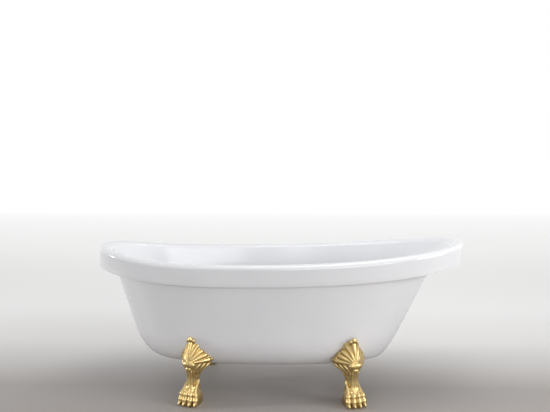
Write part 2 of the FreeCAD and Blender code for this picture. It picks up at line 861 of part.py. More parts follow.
def make_waste_seals():
    washer("waste_seal_upper", "Sizes.neck_radius + 0.3", "Sizes.flange_radius - 2",
           "Sizes.basin_floor", FLANGE_FOOT, WASTE)
    washer("waste_seal_lower", "Sizes.neck_radius + 0.3", "Sizes.flange_radius - 1",
           BASIN_UNDERSIDE + " - Sizes.lower_seal_height", BASIN_UNDERSIDE, WASTE)


def make_waste_body():
    """Body screwed on the neck, with the overflow's socket at its side and the tail below."""
    top = BASIN_UNDERSIDE + " - Sizes.lower_seal_height"
    bore = "Sizes.neck_radius + Sizes.running_gap"
    shoulder = "Sizes.tail_top + Sizes.tail_radius - Sizes.tail_bore"
    profile = [(bore, top), ("Sizes.flange_radius - 1", top),
               ("Sizes.flange_radius - 1", top + " - Sizes.barrel_flange_height"),
               ("Sizes.barrel_radius", top + " - Sizes.barrel_flange_height"),
               ("Sizes.barrel_radius", "Sizes.barrel_foot"), ("Sizes.tail_radius", "Sizes.tail_top"),
               ("Sizes.tail_radius", "Sizes.tail_foot"), ("Sizes.tail_bore", "Sizes.tail_foot"),
               ("Sizes.tail_bore", shoulder), (bore, "Sizes.barrel_foot + 4")]
    barrel = turned("waste_barrel", profile, WASTE)
    west = Rotation(Vector(0, 1, 0), -90)
    socket = doc.addObject("Part::Cylinder", "waste_socket")
    bind(socket, Radius="Sizes.socket_radius", Height="Sizes.inlet_reach")
    way = doc.addObject("Part::Cylinder", "waste_socket_way")
    bind(way, Radius="Sizes.pipe_radius + Sizes.running_gap", Height="Sizes.inlet_reach")
    room = cylinder("waste_barrel_room", bore, "Sizes.cross_foot - Sizes.barrel_foot", WASTE,
                    z="Sizes.barrel_foot + 4")
    for item in (socket, way):
        item.Placement = Placement(Vector(0, 0, 0), west)
        at(item, WASTE, "0", "Sizes.inlet_height")
    cut("waste_body", cut("waste_body_open", fuse("waste_body_blank", [barrel, socket]), way), room)


def make_plug():
    """Press-to-close plug: domed cap, seal under its edge and the stem with its stop."""
    cap_foot = FLANGE_TOP + " + Sizes.seal_height"
    turned("plug_cap", [("0", cap_foot), ("Sizes.plug_radius", cap_foot),
                        ("Sizes.plug_radius", cap_foot + " + Sizes.plug_height / 3"),
                        ("Sizes.plug_radius - 6", cap_foot + " + Sizes.plug_height"),
                        ("0", cap_foot + " + Sizes.plug_height")], WASTE)
    washer("plug_seal", "Sizes.plug_seal_inner", "Sizes.plug_seal_outer", FLANGE_TOP, cap_foot, WASTE)
    stop_top = "Sizes.stem_foot + Sizes.stem_stop_height"
    turned("plug_stem", [("0", "Sizes.stem_foot"), ("Sizes.stem_stop_radius", "Sizes.stem_foot"),
                         ("Sizes.stem_stop_radius", stop_top), ("Sizes.stem_radius", stop_top),
                         ("Sizes.stem_radius", cap_foot), ("0", cap_foot)], WASTE)


# ---------------------------------------------------------------- overflow

def on_wall(item, depth="0"):
    """Put an object that is made about its own Z axis on the overflow's axis."""
    item.Placement = overflow_place * Placement(Vector(0, 0, float(depth)), Rotation())
    return item


def pipe_turn():
    """Start, corner and end of the overflow pipe's middle line."""
    slant = math.radians(mm("pipe_slant"))
    start = Vector(mm("pipe_start_x"), 0, mm("pipe_start_height"))
    fall = mm("pipe_start_height") - mm("inlet_height")
    corner = Vector(start.x + fall * math.tan(slant), 0, mm("inlet_height"))
    end = Vector(mm("waste_place") - mm("pipe_end_reach"), 0, mm("inlet_height"))
    return start, corner, end


def pipe_line():
    """The pipe's path: slanting run, tangent bend, level run."""
    start, corner, end = pipe_turn()
    down = (corner - start).normalize()
    along = (end - corner).normalize()
    half_turn = down.getAngle(along) / 2
    cut_back = mm("pipe_bend") * math.tan(half_turn)
    first = corner - down * cut_back
    last = corner + along * cut_back
    inward = (along - down).normalize()
    middle = corner + inward * mm("pipe_bend") * (1 / math.cos(half_turn) - 1)
    return Part.Wire([Part.LineSegment(start, first).toShape(), Part.Arc(first, middle, last).toShape(),
                      Part.LineSegment(last, end).toShape()])


def make_overflow_pipe():
    path = pipe_line()
    start, corner, _ = pipe_turn()
    tubes = []
    for radius in (mm("pipe_radius"), mm("pipe_bore")):
        circle = Part.Wire([Part.Circle(start, corner - start, radius).toShape()])
        tubes.append(path.makePipeShell([circle], True, False))
    pipe = feature("overflow_pipe", tubes[0].cut(tubes[1]))
    print("overflow pipe length", round(path.Length, 1), "volume", round(pipe.Shape.Volume))


def make_overflow_plate():
    """Round cover with a slot at its lower edge, held by one screw."""
    radius, wall, top = "Sizes.plate_radius", "Sizes.plate_wall", "Sizes.plate_top"
    inside = f"{radius} - {wall}"
    ceiling = f"{top} - {wall}"
    eye = "Sizes.overflow_screw_radius + 0.3"
    cup = turned("overflow_cup",
                 [(eye, ceiling), (inside, ceiling), (inside, "Sizes.plate_foot"),
                  (radius, "Sizes.plate_foot"), (radius, top + " - 2"), (radius + " - 4", top), (eye, top)])
    slot = block("overflow_slot", radius, "2 * Sizes.slot_half_width", ceiling,
                 f"{radius} / 2", "-Sizes.slot_half_width", "0")
    on_wall(cut("overflow_plate", cup, slot))


def make_overflow_screw():
    top = "Sizes.plate_top"
    tip = "Sizes.gasket_top - Sizes.elbow_depth + Sizes.bridge_depth"
    radius = "Sizes.overflow_screw_radius"
    screw = doc.addObject("PartDesign::Body", "overflow_screw")
    screw.Label = "overflow_screw"
    sketch = sketch_loop(screw, "overflow_screw_profile", "XZ_Plane",
                         [("0", tip), (radius, tip), (radius, top),
                          ("Sizes.overflow_screw_head", top), ("Sizes.overflow_screw_head", top + " + 2"),
                          ("0", top + " + 3")])
    turn = screw.newObject("PartDesign::Revolution", "overflow_screw_turn")
    turn.Profile = sketch
    turn.ReferenceAxis = (sketch, ["V_Axis"])
    turn.Angle = 360
    on_wall(screw)


def make_overflow_gasket():
    ring = cylinder("gasket_disc", "Sizes.elbow_radius", "Sizes.gasket_height")
    eye = cylinder("gasket_eye", "Sizes.overflow_hole", "Sizes.gasket_height")
    on_wall(cut("overflow_gasket", ring, eye), mm("gasket_top") - mm("gasket_height"))


def make_overflow_elbow():
    """Chamber behind the wall, a bridge that takes the screw, and the socket for the pipe."""
    mouth = mm("gasket_top") - mm("gasket_height")
    back = mouth - mm("elbow_depth")
    wall = mm("plate_wall")
    bore = mm("elbow_bore")
    length = mm("socket_length")
    start, corner, _ = pipe_turn()
    down = (corner - start).normalize()
    to_wall = overflow_place.inverse()
    socket_start = to_wall.multVec(start - down * (length - mm("socket_overlap")))
    direction = to_wall.Rotation.multVec(down)
    chamber = Part.makeCylinder(mm("elbow_radius"), mm("elbow_depth"), Vector(0, 0, back))
    socket = Part.makeCylinder(mm("socket_radius"), length, socket_start, direction)
    room = Part.makeCylinder(bore, mm("elbow_depth") - wall, Vector(0, 0, back + wall))
    way = Part.makeCylinder(mm("pipe_radius") + mm("running_gap"), length, socket_start, direction)
    front = Part.makeBox(4 * bore, 4 * bore, length, Vector(-2 * bore, -2 * bore, mouth))
    elbow = chamber.fuse(socket).cut(room).cut(way).cut(front)
    bridge = Part.makeBox(2 * bore + 2, mm("bridge_width"), mm("bridge_depth"),
                          Vector(-bore - 1, -mm("bridge_width") / 2, back + wall + mm("bridge_lift")))
    thread = Part.makeCylinder(mm("overflow_screw_radius") + mm("running_gap"), mm("elbow_depth"),
                               Vector(0, 0, back + wall))
    elbow = elbow.fuse(bridge.cut(way)).cut(thread)
    on_wall(feature("overflow_elbow", elbow))


def make_pipe_nuts():
    """Compression nuts at the pipe's two sockets."""
    start, corner, _ = pipe_turn()
    down = (corner - start).normalize()
    level = Vector(-1, 0, 0)
    spots = [(start + down * mm("socket_overlap"), down),
             (Vector(mm("waste_place") - mm("inlet_reach"), 0, mm("inlet_height")), level)]
    nuts = []
    for i, (spot, direction) in enumerate(spots):
        place = Placement(spot, Rotation(Vector(0, 0, 1), direction))
        outer = hexagon(f"pipe_nut_hex_{i}", "Sizes.pipe_nut_radius", "Sizes.pipe_nut_length")
        inner = cylinder(f"pipe_nut_bore_{i}", "Sizes.pipe_radius + Sizes.running_gap",
                         "Sizes.pipe_nut_length")
        nut = cut(f"pipe_nut_{i}", outer, inner)
        nut.Placement = place
        nuts.append(nut)
    group("overflow_pipe_nuts", nuts)


# ---------------------------------------------------------------- build, check, write

make_basin_shell()
make_outer_skirt()
make_base_board()
make_cross_bars()
make_foot_fasteners()
make_claw_feet()
make_levellers()
make_waste_flange()
make_waste_seals()
make_waste_body()
make_plug()
make_overflow_plate()
make_overflow_screw()
make_overflow_gasket()
make_overflow_elbow()
make_overflow_pipe()
make_pipe_nuts()
doc.recompute()

NODES = ["basin_shell", "outer_skirt", "base_board", "cross_bar_low", "cross_bar_high",
         "foot_bolts", "foot_bolt_washers", "foot_bolt_nuts", "leveller_lock_nuts",
         "waste_flange", "waste_seal_upper", "waste_seal_lower", "waste_body",
         "plug_cap", "plug_seal", "plug_stem",
         "overflow_plate", "overflow_screw", "overflow_gasket", "overflow_elbow", "overflow_pipe",
         "overflow_pipe_nuts"]
NODES += [f"{kind}_{corner}" for kind in ("claw_foot", "leveller_pad", "leveller_screw") for corner in FEET]

for item in doc.Objects:
    if "Invalid" in item.State or "Error" in item.State:
        raise RuntimeError(f"{item.Label} failed: {item.State}")
shapes = {name: doc.getObjectsByLabel(name)[0].Shape for name in NODES}
for name, shape in shapes.items():
    if shape.isNull() or not shape.isValid() or shape.Volume <= 0:
        raise RuntimeError(f"{name} has no good solid")
for name, shape in shapes.items():
    shape.exportStep(f"parts/{name}.step")
    print(name, len(shape.Solids), "solids", round(shape.Volume / 1000, 1), "cm3")
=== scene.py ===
"""Looks of the single-slipper clawfoot bath, in metres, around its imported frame.

X runs along the bath to the raised slipper end, Y away from the viewer, Z up from the floor.
"""
import json
import math

import bmesh
import bpy
from mathutils import Matrix, Vector

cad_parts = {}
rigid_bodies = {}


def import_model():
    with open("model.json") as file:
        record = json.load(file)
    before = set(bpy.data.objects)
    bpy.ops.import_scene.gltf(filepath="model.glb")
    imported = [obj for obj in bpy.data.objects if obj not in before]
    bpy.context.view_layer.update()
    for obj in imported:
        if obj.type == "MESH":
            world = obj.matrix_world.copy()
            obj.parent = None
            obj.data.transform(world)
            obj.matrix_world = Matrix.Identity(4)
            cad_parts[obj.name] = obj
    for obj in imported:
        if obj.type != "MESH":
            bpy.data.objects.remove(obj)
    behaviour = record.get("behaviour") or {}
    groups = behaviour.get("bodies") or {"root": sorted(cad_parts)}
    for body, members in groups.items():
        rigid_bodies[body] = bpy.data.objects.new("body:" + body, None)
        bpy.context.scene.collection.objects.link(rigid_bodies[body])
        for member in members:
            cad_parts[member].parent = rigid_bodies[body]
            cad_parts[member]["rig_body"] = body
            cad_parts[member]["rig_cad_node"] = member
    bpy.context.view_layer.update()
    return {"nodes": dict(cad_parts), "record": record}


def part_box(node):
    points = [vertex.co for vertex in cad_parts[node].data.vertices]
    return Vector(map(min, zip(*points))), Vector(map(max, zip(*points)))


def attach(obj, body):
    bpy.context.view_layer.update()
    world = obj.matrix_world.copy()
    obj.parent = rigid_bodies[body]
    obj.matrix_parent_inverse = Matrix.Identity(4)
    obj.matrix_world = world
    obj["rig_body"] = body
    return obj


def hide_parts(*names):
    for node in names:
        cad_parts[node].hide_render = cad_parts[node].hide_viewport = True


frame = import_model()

# ---------------------------------------------------------------- driving dimensions

RING_POINTS = 240
PAW_POINTS = 48

# rim: the outline comes from the frame, the crest rises to both ends from RISE_START
BASIN_LOW, BASIN_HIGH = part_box("basin_shell")
RIM_HALF_LENGTH = (BASIN_HIGH.x - BASIN_LOW.x) / 2
RIM_HALF_WIDTH = (BASIN_HIGH.y - BASIN_LOW.y) / 2
RIM_SQUARENESS = 2.55
RIM_HEIGHT = 0.623
RISE_START = -0.280
LOW_RISE = 0.054
LOW_RISE_POWER = 2.5
HIGH_RISE = BASIN_HIGH.z - RIM_HEIGHT
HIGH_RISE_POWER = 2.57
ROLL_RADIUS = 0.019
APRON_DEPTH = 0.093
APRON_EDGE_ROUND = 0.0025
RIM_WIDTH = 0.060
RIM_EDGE_DROP = 0.012
RIM_SHOULDER_POWER = 4

APRON_EDGE_TURNS = (0, 30, 60, 90)
APRON_SHARES = (0.25, 0.5, 0.75)
ROLL_TURNS = range(0, 91, 10)
SHOULDER_SHARES = (0, 0.3, 0.5, 0.7, 0.85)
SHOULDER_STEPS = 3

# basin
BASIN_THICKNESS = 0.007
BASIN_FLOOR = 0.215
BASIN_HIGH_EDGE = 0.782
LOW_LEAN = 0.240
HIGH_LEAN = 0.395
SIDE_LEAN = 0.060
LOW_FLOOR_ROUND = 0.075
HIGH_FLOOR_ROUND = 0.060
SIDE_FLOOR_ROUND = 0.100
FLOOR_ROUND_START = 0.6
BASIN_EDGE_DEPTHS = (0, 0.04, 0.1)
BASIN_WALL_DEPTHS = [0.15 + 0.05 * step for step in range(10)]
BASIN_FLOOR_SHARES = (0.9, 0.7, 0.45, 0.2)
BEND_TURNS = range(5, 91, 5)
SMOOTH_ANGLE = 40

# outer body
BODY_THICKNESS = 0.005
BODY_TOP = 0.535
BODY_LOW_REACH = 0.765
BODY_HIGH_REACH = 0.688
BODY_HALF_WIDTH = 0.356
BODY_LOW_SLOPE = 0.32
BODY_HIGH_SLOPE = 0.50
BODY_SIDE_SLOPE = 0.10
BODY_ROUND_START = 0.290
BODY_BOTTOM = 0.153
BODY_LOW_ROUND = 0.070
BODY_HIGH_ROUND = 0.024
BODY_SIDE_ROUND = 0.115
BODY_TOP_SQUARENESS = 2.45
BODY_FOOT_SQUARENESS = 2.3
LIP_LOW_REACH = 0.800
LIP_HIGH_REACH = 0.750
LIP_HALF_WIDTH = 0.357
LIP_TUCK = 0.012
LIP_STEPS = 10
LIP_LEAD = 0.01
WALL_STEPS = 12
BODY_FLOOR_SHARES = (0.85, 0.5, 0.2)

# waste and overflow
WASTE_X = -0.410
WASTE_HOLE = 0.0245
ACCESS_LENGTH = 0.120
ACCESS_HALF_WIDTH = 0.075
OVERFLOW_HEIGHT = 0.475
OVERFLOW_LEAN = math.radians(28.6)
OVERFLOW_HOLE = 0.020
DRILL_DEPTH = 0.06
HATCH_DEPTH = 0.03
HATCH_CORNER = 0.012

# feet
FOOT_SPLAY = math.radians(20)
FOOT_CLEARANCE = 0.0006
FOOT_WALL = 0.009
BLOCK_STEPS = 4
FOOT_VOXEL = 0.0015
FOOT_SMOOTH_ANGLE = 50
BOW_POWER = 1.6
OUTLINE_STEPS = 24
OUTLINE_TAPER = 0.7
LEG_EASING = 4
CLAW_SPREAD = 1.1
# horizontal sections of the fan and leg: height, reach of the front crest, reach of the swept-back
# side edge, half width
LEG_SECTIONS = (
    (0.058, 0.036, -0.030, 0.031), (0.080, 0.030, -0.026, 0.0285), (0.102, 0.026, -0.024, 0.0285),
    (0.125, 0.025, -0.024, 0.0295), (0.140, 0.0265, -0.026, 0.034), (0.155, 0.029, -0.031, 0.047),
    (0.170, 0.032, -0.038, 0.063), (0.188, 0.032, -0.045, 0.072), (0.205, 0.030, -0.046, 0.072),
    (0.222, 0.027, -0.040, 0.060), (0.240, 0.023, -0.032, 0.045), (0.258, 0.018, -0.025, 0.033),
    (0.275, 0.011, -0.017, 0.022), (0.290, 0.006, -0.009, 0.012))
# sections of the paw: height, middle, half length, half width
PAW_SECTIONS = (
    (0.000, -0.006, 0.049, 0.037), (0.014, -0.006, 0.051, 0.041), (0.032, -0.005, 0.048, 0.041),
    (0.050, -0.002, 0.041, 0.037), (0.066, 0.001, 0.033, 0.031), (0.084, 0.001, 0.027, 0.026))
PAW_SQUARENESS = 2.4
FAN_CENTRE = 0.190
# flutes of one half of the fan: angle from upright, length from the fan's centre
FLUTES = ((0, 0.093), (18, 0.081), (40, 0.067), (63, 0.066), (86, 0.072))
# along a flute: share of its length, radius
FLUTE_LINE = ((0.10, 0.005), (0.35, 0.0065), (0.62, 0.0092), (0.86, 0.0118), (1.0, 0.010),
              (1.08, 0.0055))
FLUTE_SINK = 0.55
BEAD_RADIUS = 0.005
BEAD_REACH = 0.97
BEAD_PROUD = 0.001
# folds from the fan's wings down into the leg, as (side, height) along each
FOLDS = (
    ((0.072, 0.197), (0.067, 0.180), (0.052, 0.163), (0.037, 0.148), (0.0275, 0.124)),
    ((0.060, 0.190), (0.052, 0.176), (0.040, 0.162), (0.029, 0.147), (0.021, 0.112)),
    ((0.046, 0.187), (0.038, 0.176), (0.028, 0.163), (0.020, 0.148), (0.0155, 0.116)))
FOLD_RADII = (0.0062, 0.0056, 0.005)
FOLD_SINK = (0.001, 0.001, 0.001, 0.0015, 0.003)
FOLD_TAPER = (0.7, 1, 1, 0.85, 0.5)
# the boss at the fan's foot and the finial: place and half sizes
BALLS = (
    (Vector((0.027, 0, 0.183)), (0.013, 0.030, 0.017)),
    (Vector((0.031, 0, 0.164)), (0.008, 0.014, 0.011)),
    (Vector((0.010, 0, 0.290)), (0.010, 0.010, 0.011)),
    (Vector((0.006, 0.013, 0.284)), (0.008, 0.008, 0.009)),
    (Vector((0.006, -0.013, 0.284)), (0.008, 0.008, 0.009)),
    (Vector((0.012, 0, 0.2985)), (0.0058, 0.0058, 0.0058)))
# a toe's line from the fan's foot to its tip: reach (none where it lies on the leg's front), share
# of the toe's side place, height, radius
TOE_LINE = (
    (None, 0.72, 0.164, 0.0012), (None, 0.74, 0.148, 0.0054), (None, 0.73, 0.124, 0.0060),
    (None, 0.73, 0.102, 0.0066), (0.026, 0.76, 0.080, 0.0084), (0.033, 0.86, 0.063, 0.0106),
    (0.0375, 0.97, 0.0515, 0.0124), (0.0400, 1.02, 0.040, 0.0112), (0.0450, 1.06, 0.0285, 0.0126),
    (0.0475, 1.08, 0.0175, 0.0108), (0.0510, 1.09, 0.0115, 0.0100), (0.0550, 1.09, 0.0100, 0.0060))
CORD_SINK = 0.0015
TOE_SET_BACK = 0.28
# above its foot a cord is set back by this much more for each metre
CORD_SET_BACK = 40
CORD_FOOT = 0.050
# reach, height, radius
CLAW_LINE = ((0.0510, 0.0190, 0.0062), (0.0572, 0.0155, 0.0056), (0.0608, 0.0085, 0.0042),
             (0.0620, 0.0022, 0.0022))
TOE_SPREAD = 0.034
TOE_PLACES = (-1, -0.35, 0.35, 1)
BELOW_FLOOR = ((-0.2, -0.2, -0.1), (0.2, 0.2, 0))
ARM_REACH = 0.222
ARM_ROOT = 0.018
ARM_WIDTH = 0.044
ARM_THICKNESS = 0.010
ARM_EDGE = 0.0012
BOLT_REACHES = (0.165, 0.200)
BOLT_HOLE = 0.0055
HOLLOW_BACK = -0.062
HOLLOW_FRONT = 0.012
HOLLOW_HALF_WIDTH = 0.014
HOLLOW_TOP = 0.092
PAW_POCKET_RADIUS = 0.018
BOSS_START = 0.016
BOSS_TOP = 0.032
THREAD_HOLE = 0.00605

# plug's cap: share of the radius and of the height, from its underside over the dome
CAP_PROFILE = ((0.4, 0), (0.94, 0), (1, 0.1), (1, 0.34), (0.985, 0.45), (0.93, 0.62), (0.8, 0.8),
               (0.62, 0.92), (0.4, 0.98), (0.15, 1))
CAP_SMOOTH_ANGLE = 45

# fittings: rounding of the edges by material, points round the plug's cap
MERGE_DISTANCE = 0.00001
FLAT_ANGLE = 0.5
EDGE_ANGLE = 40
FINE_EDGE = 0.0004
EDGES = {"steel": 0.0006, "gold_fitting": 0.0009, "pipe_plastic": 0.0006, "board": 0.0008}
CAP_TURNS = [2 * math.pi * step / 96 for step in range(96)]
# name, darker and paler colour, size of the mottling, roughness range, grain, metallic
MOTTLED = (
    ("gold_fitting", (0.74, 0.51, 0.19), (0.84, 0.62, 0.27), 30, (0.12, 0.22), (400, 0.05), 1),
    ("steel", (0.50, 0.51, 0.52), (0.64, 0.65, 0.66), 60, (0.28, 0.44), (500, 0.12), 1),
    ("board", (0.30, 0.20, 0.11), (0.60, 0.45, 0.28), 140, (0.75, 0.9), (220, 0.6)),
    ("rubber", (0.012, 0.012, 0.013), (0.030, 0.030, 0.031), 50, (0.6, 0.8), (350, 0.2)),
    ("pipe_plastic", (0.72, 0.72, 0.70), (0.80, 0.80, 0.78), 25, (0.26, 0.38), (300, 0.08)),
    ("pad_nylon", (0.016, 0.016, 0.017), (0.036, 0.036, 0.038), 60, (0.38, 0.55), (400, 0.15)))

# white acrylic: colours of the mottling with their places on the ramp, roughness range
ACRYLIC_COLOURS = ((0.3, (0.80, 0.805, 0.825)), (0.7, (0.83, 0.835, 0.85)))
ACRYLIC_GLOSS = (0.09, 0.15)
ACRYLIC_COAT = 0.4
ACRYLIC_COAT_ROUGHNESS = 0.04

# gold castings: colours from the hollows, darkened there as painted shade, to the ridges, roughness
# there, the pointiness of both
GOLD_PAINTED_SHADE_COLOURS = ((0.1, (0.16, 0.10, 0.032)), (0.6, (0.44, 0.305, 0.115)), (1.0, (0.62, 0.475, 0.225)))
GOLD_GLOSS = (0.50, 0.32)
GOLD_HOLLOW = 0.42
GOLD_RIDGE = 0.54
GOLD_WEAR = 0.25

# lamps: name, place, what each points at, size, watts
LAMPS = (
    ("overhead", (0.4, -0.2, 3.2), (0.1, 0, 0.4), (3.0, 1.6), 40),
    ("right", (3.4, -1.8, 1.4), (0.2, 0, 0.4), (1.8, 1.6), 64),
    ("front", (1.5, -5.0, 1.5), (0, 0, 0.3), (3.4, 2.0), 58),
    ("left", (-4.2, -0.46, 1.0), (0, -0.3, 0.1), (0.3, 0.3), 60))
SKY_LIGHT = (0.28, 0.284, 0.295)

# floor: colour and glow over the distance Y behind the bath's middle
FLOOR_SIZE = 40
FLOOR_ROUGHNESS = 0.6
FLOOR_NEAR = (-0.4, 1.6)
FLOOR_COLOURS = (
    (0, (0.37, 0.34, 0.32)), (0.16, (0.38, 0.355, 0.335)), (0.32, (0.60, 0.58, 0.56)),
    (0.55, (0.76, 0.74, 0.725)), (1, (0.80, 0.79, 0.78)))
FLOOR_FAR = (0, 12)
FLOOR_GLOW = (
    (0.02, (0, 0, 0)), (0.13, (0.26, 0.26, 0.255)), (0.37, (0.48, 0.48, 0.47)),
    (0.7, (0.60, 0.60, 0.60)), (1, (0.85, 0.85, 0.85)))

# camera, matched to the rim, the body's outline and the soles
IMAGE_WIDTH = 550
FOCAL_PIXELS = 697.3
CAMERA_PLACE = Vector((0.073, -3.286, 1.118))
CAMERA_YAW = -0.030
CAMERA_PITCH = 0.081


# ---------------------------------------------------------------- modelling helpers

def deselect():
    if bpy.context.object and bpy.context.object.mode != "OBJECT":
        bpy.ops.object.mode_set(mode="OBJECT")
    bpy.ops.object.select_all(action="DESELECT")


def choose(*pieces):
    """Select these objects alone; the first is the active one."""
    deselect()
    for piece in pieces:
        piece.select_set(True)
    bpy.context.view_layer.objects.active = pieces[0]


def added(name):
    """The primitive that was just added, under its own name."""
    piece = bpy.context.object
    piece.name = name
    piece.data.name = name
    return piece


def settle(piece):
    """Apply the object's place, turn and scale to its mesh."""
    choose(piece)
    bpy.ops.object.transform_apply(location=True, rotation=True, scale=True)
    return piece


def join(name, pieces):
    choose(*pieces)
    bpy.ops.object.join()
    return added(name)


def apply_modifier(piece, kind, **settings):
    choose(piece)
    modifier = piece.modifiers.new(kind.lower(), kind)
    for key, value in settings.items():
        setattr(modifier, key, value)
    bpy.ops.object.modifier_apply(modifier=modifier.name)


def cut_away(piece, *tools):
    for tool in tools:
        apply_modifier(piece, "BOOLEAN", operation="DIFFERENCE", object=tool, solver="EXACT")
        bpy.data.objects.remove(tool)


def outward(piece):
    """Turn all faces outwards."""
    choose(piece)
    bpy.ops.object.mode_set(mode="EDIT")
    bpy.ops.mesh.select_all(action="SELECT")
    bpy.ops.mesh.normals_make_consistent(inside=False)
    bpy.ops.object.mode_set(mode="OBJECT")


def smooth(piece, degrees=35):
    choose(piece)
    bpy.ops.object.shade_smooth_by_angle(angle=math.radians(degrees))


def put(piece, material, body="tub", stands_for=()):
    """Give the piece its material and its body."""
    piece.data.materials.clear()
    piece.data.materials.append(material)
    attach(piece, body)
    if stands_for:
        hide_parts(*stands_for)
    return piece


def place_ring(mesh, slots, ring):
    """Put the selected ring of an edit mesh on the given points."""
    for vertex in mesh.verts:
        if vertex.select:
            vertex.co = ring[vertex[slots]]


def loft(name, rings, closed_start=False, closed_end=False):
    """A skin drawn through rings of points: a circle, extruded once for each ring."""
    deselect()
    bpy.ops.mesh.primitive_circle_add(vertices=len(rings[0]), radius=1, fill_type="NOTHING")
    piece = added(name)
    bpy.ops.object.mode_set(mode="EDIT")
    mesh = bmesh.from_edit_mesh(piece.data)
    slots = mesh.verts.layers.int.new("slot")
    for number, vertex in enumerate(mesh.verts):
        vertex[slots] = number
    bpy.ops.mesh.select_all(action="SELECT")
    if closed_start:
        bpy.ops.mesh.edge_face_add()
    for number, ring in enumerate(rings):
        if number:
            bpy.ops.mesh.extrude_edges_move()
        mesh = bmesh.from_edit_mesh(piece.data)
        place_ring(mesh, mesh.verts.layers.int["slot"], ring)
    if closed_end:
        bpy.ops.mesh.edge_face_add()
    bmesh.update_edit_mesh(piece.data)
    bpy.ops.object.mode_set(mode="OBJECT")
    return piece


def eased(rings, steps):
    """More rings on a smooth curve through the given ones."""
    ends = [rings[0]] + rings + [rings[-1]]
    drawn = [rings[0]]
    for a, b, c, d in zip(ends, ends[1:], ends[2:], ends[3:]):
        for step in range(1, steps + 1):
            t = step / steps
            drawn.append([
                ((2 * q) + (r - p) * t + (2 * p - 5 * q + 4 * r - s) * t * t
                 + (3 * q - p - 3 * r + s) * t * t * t) / 2
                for p, q, r, s in zip(a, b, c, d)])
    return drawn


# ---------------------------------------------------------------- shells

def rim_top(x):
    """Height of the rim's crest over the plan position x."""
    to_low = max(0, (RISE_START - x) / (RIM_HALF_LENGTH + RISE_START))
    to_high = max(0, (x - RISE_START) / (RIM_HALF_LENGTH - RISE_START))
    return RIM_HEIGHT + LOW_RISE * to_low ** LOW_RISE_POWER + HIGH_RISE * to_high ** HIGH_RISE_POWER


def oval(low_end, high_end, half_width, squareness, height, count=RING_POINTS):
    """Ring of points round a squared oval, at a height that may depend on x."""
    middle = (low_end + high_end) / 2
    half_length = (high_end - low_end) / 2
    ring = []
    for step in range(count):
        turn = 2 * math.pi * step / count
        along = math.cos(turn)
        across = math.sin(turn)
        swell = (abs(along) ** squareness + abs(across) ** squareness) ** (-1 / squareness)
        x = middle + half_length * along * swell
        ring.append(Vector((x, half_width * across * swell, height(x))))
    return ring


def rim_ring(inset, drop):
    length = RIM_HALF_LENGTH - inset
    return oval(-length, length, RIM_HALF_WIDTH - inset, RIM_SQUARENESS, lambda x: rim_top(x) - drop)


def basin_ring(depth):
    """Ring of the basin's wall: depth 0 at the rim's inner edge, 1 at the floor."""
    bend = max(0, (depth - FLOOR_ROUND_START) / (1 - FLOOR_ROUND_START))
    rounding = 1 - math.sqrt(max(0, 1 - bend * bend))
    low = RIM_HALF_LENGTH - RIM_WIDTH - LOW_LEAN * depth - LOW_FLOOR_ROUND * rounding
    high = BASIN_HIGH_EDGE - HIGH_LEAN * depth - HIGH_FLOOR_ROUND * rounding
    side = RIM_HALF_WIDTH - RIM_WIDTH - SIDE_LEAN * depth - SIDE_FLOOR_ROUND * rounding
    return oval(-low, high, side, RIM_SQUARENESS,
                lambda x: BASIN_FLOOR + (rim_top(x) - RIM_EDGE_DROP - BASIN_FLOOR) * (1 - depth))


def shrunk(ring, shares):
    """Copies of a ring drawn in towards its middle, for a flat floor."""
    centre = sum(ring, Vector()) / len(ring)
    return [[centre + (point - centre) * share for point in ring] for share in shares]


def rim_and_basin_rings():
    """From the apron's foot up the outside, over the roll and down to the basin floor."""
    rings = [rim_ring(BASIN_THICKNESS * 0.5, APRON_DEPTH)]
    for turn in APRON_EDGE_TURNS:
        angle = math.radians(turn)
        rings.append(rim_ring(APRON_EDGE_ROUND * (1 - math.sin(angle)),
                              APRON_DEPTH - APRON_EDGE_ROUND * (1 - math.cos(angle))))
    straight = APRON_DEPTH - APRON_EDGE_ROUND - ROLL_RADIUS
    for share in APRON_SHARES:
        rings.append(rim_ring(0, APRON_DEPTH - APRON_EDGE_ROUND - straight * share))
    for turn in ROLL_TURNS:
        angle = math.radians(turn)
        rings.append(rim_ring(ROLL_RADIUS * (1 - math.cos(angle)), ROLL_RADIUS * (1 - math.sin(angle))))
    run = RIM_WIDTH - ROLL_RADIUS
    shoulder = [rim_ring(ROLL_RADIUS + run * share, RIM_EDGE_DROP * share ** RIM_SHOULDER_POWER)
                for share in SHOULDER_SHARES]
    edge = [basin_ring(depth) for depth in BASIN_EDGE_DEPTHS]
    rings += eased(shoulder + edge, SHOULDER_STEPS)[1:]
    bend = [FLOOR_ROUND_START + (1 - FLOOR_ROUND_START) * math.sin(math.radians(turn))
            for turn in BEND_TURNS]
    rings += [basin_ring(depth) for depth in BASIN_WALL_DEPTHS + bend]
    return rings + shrunk(rings[-1], BASIN_FLOOR_SHARES)


def body_ring(height, rounding, offset=0.0):
    """Level ring of the outer body; rounding is the inset share of its bottom bend."""
    drop = BODY_TOP - height
    low = BODY_LOW_REACH - BODY_LOW_SLOPE * drop - BODY_LOW_ROUND * rounding
    high = BODY_HIGH_REACH - BODY_HIGH_SLOPE * drop - BODY_HIGH_ROUND * rounding
    side = BODY_HALF_WIDTH - BODY_SIDE_SLOPE * drop - BODY_SIDE_ROUND * rounding
    share = drop / (BODY_TOP - BODY_BOTTOM)
    squareness = BODY_TOP_SQUARENESS + (BODY_FOOT_SQUARENESS - BODY_TOP_SQUARENESS) * share
    return oval(-low - offset, high + offset, side + offset, squareness, lambda x: height)


